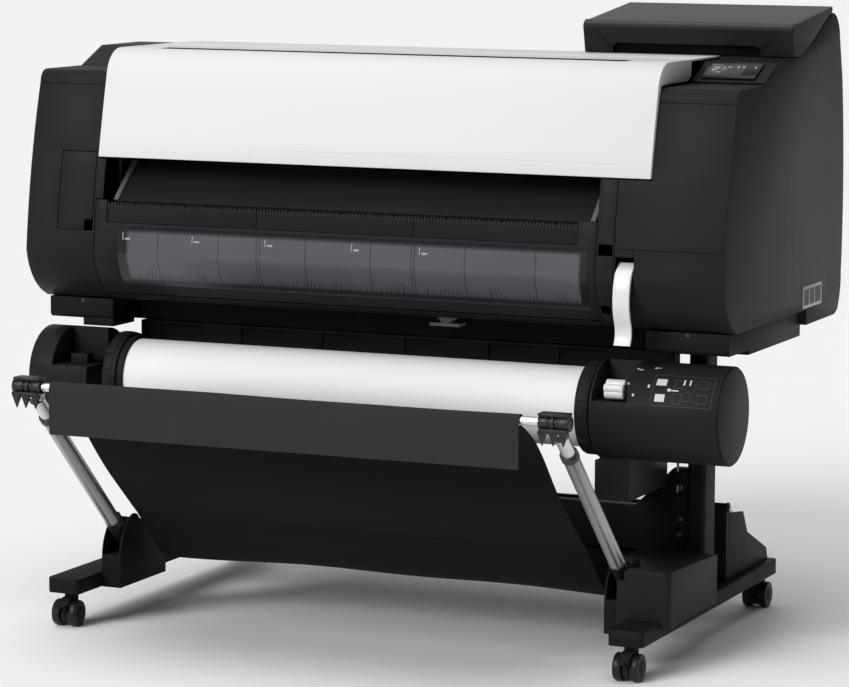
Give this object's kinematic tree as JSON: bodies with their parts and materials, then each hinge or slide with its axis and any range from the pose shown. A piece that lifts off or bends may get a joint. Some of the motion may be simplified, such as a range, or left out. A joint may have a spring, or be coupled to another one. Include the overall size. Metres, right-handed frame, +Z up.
{
  "type": "large format plotter",
  "caption": "Wide plotter casing on a rolling stand: hinged white cover, smoked output guide, ink bay with lid, front paper roll in round housings and a folding cloth basket.",
  "frame": {"origin": "on the floor under the middle of the bounding box", "axes": "+X to the machine's right as seen from its front, -Y towards the front where paper comes out, +Z up"},
  "size_m": [1.39, 1.0622, 1.168],
  "materials": {
    "arm_silver": "satin anodised",
    "casing_black": "fine grained satin",
    "cloth": "plain woven",
    "cover_white": "semi gloss",
    "gear_nylon": "natural nylon",
    "ink_tank_plastic": "satin",
    "knob_grey": "satin",
    "lens_smoke": "clear smoked",
    "lever_white": "semi gloss",
    "lid_grey": "satin",
    "paper": "wound bright paper",
    "roller_rubber": "ground",
    "screen": "gloss",
    "stand_black": "satin powder coat",
    "steel": "satin",
    "wheel_rubber": "matte nylon"
  },
  "bodies": {
    "stand_and_casing": {"arm_brackets": "stand_black", "back_panel": "casing_black", "basket_sling": "cloth", "beam_knob": "knob_grey", "bottom_pan": "stand_black", "control_panel": "casing_black", "foot_beams": "stand_black", "front_frame": "casing_black", "ink_housing": "casing_black", "ink_tanks": "ink_tank_plastic", "left_roll_housing": "casing_black", "left_side_cover": "casing_black", "leg_cross_beam": "stand_black", "legs": "stand_black", "output_apron": "casing_black", "platen": "casing_black", "power_inlet": "casing_black", "print_frame": "steel", "rear_rod": "steel", "rear_rod_brackets": "stand_black", "right_foot_cover": "casing_black", "right_roll_housing": "casing_black", "right_side_cover": "casing_black", "roll_beam": "stand_black", "roll_end_cap": "casing_black", "roll_motor": "steel", "top_rear_cover": "cover_white", "touch_screen": "screen"},
    "front_left_caster": {"front_left_caster_fork": "casing_black"},
    "front_right_caster": {"front_right_caster_fork": "casing_black"},
    "rear_left_caster": {"rear_left_caster_fork": "casing_black"},
    "rear_right_caster": {"rear_right_caster_fork": "casing_black"},
    "front_left_wheels": {"front_left_caster_wheels": "wheel_rubber"},
    "front_right_wheels": {"front_right_caster_wheels": "wheel_rubber"},
    "rear_left_wheels": {"rear_left_caster_wheels": "wheel_rubber"},
    "rear_right_wheels": {"rear_right_caster_wheels": "wheel_rubber"},
    "front_left_brake": {"front_left_caster_brake": "casing_black"},
    "front_right_brake": {"front_right_caster_brake": "casing_black"},
    "basket_arms": {"arm_tubes": "arm_silver", "basket_front_panel": "cloth"},
    "basket_bar": {"arm_rods": "arm_silver", "bar_clips": "casing_black", "front_bar": "arm_silver", "basket_flap": "cloth"},
    "roll": {"spindle": "steel", "roll_flanges": "casing_black", "paper_roll": "paper", "drive_gear": "gear_nylon"},
    "pinion": {"drive_pinion": "gear_nylon"},
    "roll_lock": {"roll_lock_lever": "lever_white"},
    "access_cover": {"top_cover": "cover_white"},
    "ink_lid": {"ink_cover": "lid_grey"},
    "maintenance_door": {"access_door": "casing_black"},
    "guide_panel": {"output_guide": "casing_black", "window_lens": "lens_smoke", "comb_bar": "casing_black"},
    "lever": {"release_lever": "lever_white"},
    "feed": {"feed_roller": "roller_rubber"},
    "pinch": {"pinch_rollers": "gear_nylon"},
    "print_carriage": {"carriage": "casing_black"}
  },
  "joints": [
    {"name": "front_left_swivel", "type": "hinge", "parent": "stand_and_casing", "child": "front_left_caster", "pos_m": [-0.561, -0.262, 0.05], "axis": [0, 0, 1], "continuous": true},
    {"name": "front_left_wheel_spin", "type": "hinge", "parent": "front_left_caster", "child": "front_left_wheels", "pos_m": [-0.561, -0.274, 0.025], "axis": [1, 0, 0], "continuous": true},
    {"name": "rear_left_swivel", "type": "hinge", "parent": "stand_and_casing", "child": "rear_left_caster", "pos_m": [-0.561, 0.446, 0.05], "axis": [0, 0, 1], "continuous": true},
    {"name": "rear_left_wheel_spin", "type": "hinge", "parent": "rear_left_caster", "child": "rear_left_wheels", "pos_m": [-0.561, 0.458, 0.025], "axis": [1, 0, 0], "continuous": true},
    {"name": "front_left_brake_press", "type": "hinge", "parent": "front_left_caster", "child": "front_left_brake", "pos_m": [-0.561, -0.308, 0.04], "axis": [1, 0, 0], "range_deg": [0, 18]},
    {"name": "front_right_swivel", "type": "hinge", "parent": "stand_and_casing", "child": "front_right_caster", "pos_m": [0.561, -0.262, 0.05], "axis": [0, 0, 1], "continuous": true},
    {"name": "front_right_wheel_spin", "type": "hinge", "parent": "front_right_caster", "child": "front_right_wheels", "pos_m": [0.561, -0.274, 0.025], "axis": [1, 0, 0], "continuous": true},
    {"name": "rear_right_swivel", "type": "hinge", "parent": "stand_and_casing", "child": "rear_right_caster", "pos_m": [0.561, 0.446, 0.05], "axis": [0, 0, 1], "continuous": true},
    {"name": "rear_right_wheel_spin", "type": "hinge", "parent": "rear_right_caster", "child": "rear_right_wheels", "pos_m": [0.561, 0.458, 0.025], "axis": [1, 0, 0], "continuous": true},
    {"name": "front_right_brake_press", "type": "hinge", "parent": "front_right_caster", "child": "front_right_brake", "pos_m": [0.561, -0.308, 0.04], "axis": [1, 0, 0], "range_deg": [0, 18]},
    {"name": "basket_fold", "type": "hinge", "parent": "stand_and_casing", "child": "basket_arms", "pos_m": [0, -0.15, 0.15], "axis": [-1, 0, 0], "range_deg": [0, 32]},
    {"name": "basket_extend", "type": "slide", "parent": "basket_arms", "child": "basket_bar", "axis": [0, -0.7314, 0.682], "range_m": [-0.052, 0]},
    {"name": "roll_spin", "type": "hinge", "parent": "stand_and_casing", "child": "roll", "pos_m": [0, -0.105, 0.457], "axis": [1, 0, 0], "continuous": true},
    {"name": "roll_pinion_spin", "type": "hinge", "parent": "stand_and_casing", "child": "pinion", "pos_m": [-0.655, -0.0698, 0.457], "axis": [1, 0, 0], "continuous": true},
    {"name": "roll_lock_lift", "type": "hinge", "parent": "stand_and_casing", "child": "roll_lock", "pos_m": [0.49, -0.116, 0.5], "axis": [-1, 0, 0], "range_deg": [0, 50]},
    {"name": "cover_open", "type": "hinge", "parent": "stand_and_casing", "child": "access_cover", "pos_m": [0, 0.046, 1.0805], "axis": [-1, 0, 0], "range_deg": [0, 65]},
    {"name": "ink_lid_open", "type": "hinge", "parent": "stand_and_casing", "child": "ink_lid", "pos_m": [0.496, 0.438, 1.16], "axis": [-1, 0, 0], "range_deg": [0, 60]},
    {"name": "maintenance_door_open", "type": "hinge", "parent": "stand_and_casing", "child": "maintenance_door", "pos_m": [-0.63, -0.1785, 0.8135], "axis": [0, -0.1759, -0.9844], "range_deg": [0, 100]},
    {"name": "guide_panel_open", "type": "hinge", "parent": "stand_and_casing", "child": "guide_panel", "pos_m": [0, -0.146, 0.63], "axis": [1, 0, 0], "range_deg": [0, 30]},
    {"name": "release_lever_pull", "type": "hinge", "parent": "stand_and_casing", "child": "lever", "pos_m": [0.5095, -0.165, 0.722], "axis": [-1, 0, 0], "range_deg": [0, 25]},
    {"name": "feed_roller_spin", "type": "hinge", "parent": "stand_and_casing", "child": "feed", "pos_m": [0, -0.01, 0.85], "axis": [1, 0, 0], "continuous": true},
    {"name": "pinch_rollers_spin", "type": "hinge", "parent": "stand_and_casing", "child": "pinch", "pos_m": [0, -0.01, 0.8723], "axis": [1, 0, 0], "continuous": true},
    {"name": "carriage_travel", "type": "slide", "parent": "stand_and_casing", "child": "print_carriage", "axis": [-1, 0, 0], "range_m": [0, 0.9]}
  ],
  "couplings": [
    {"joint": "roll_pinion_spin", "follows": "roll_spin", "ratio": -2.5},
    {"joint": "pinch_rollers_spin", "follows": "feed_roller_spin", "ratio": -2.1429}
  ]
}
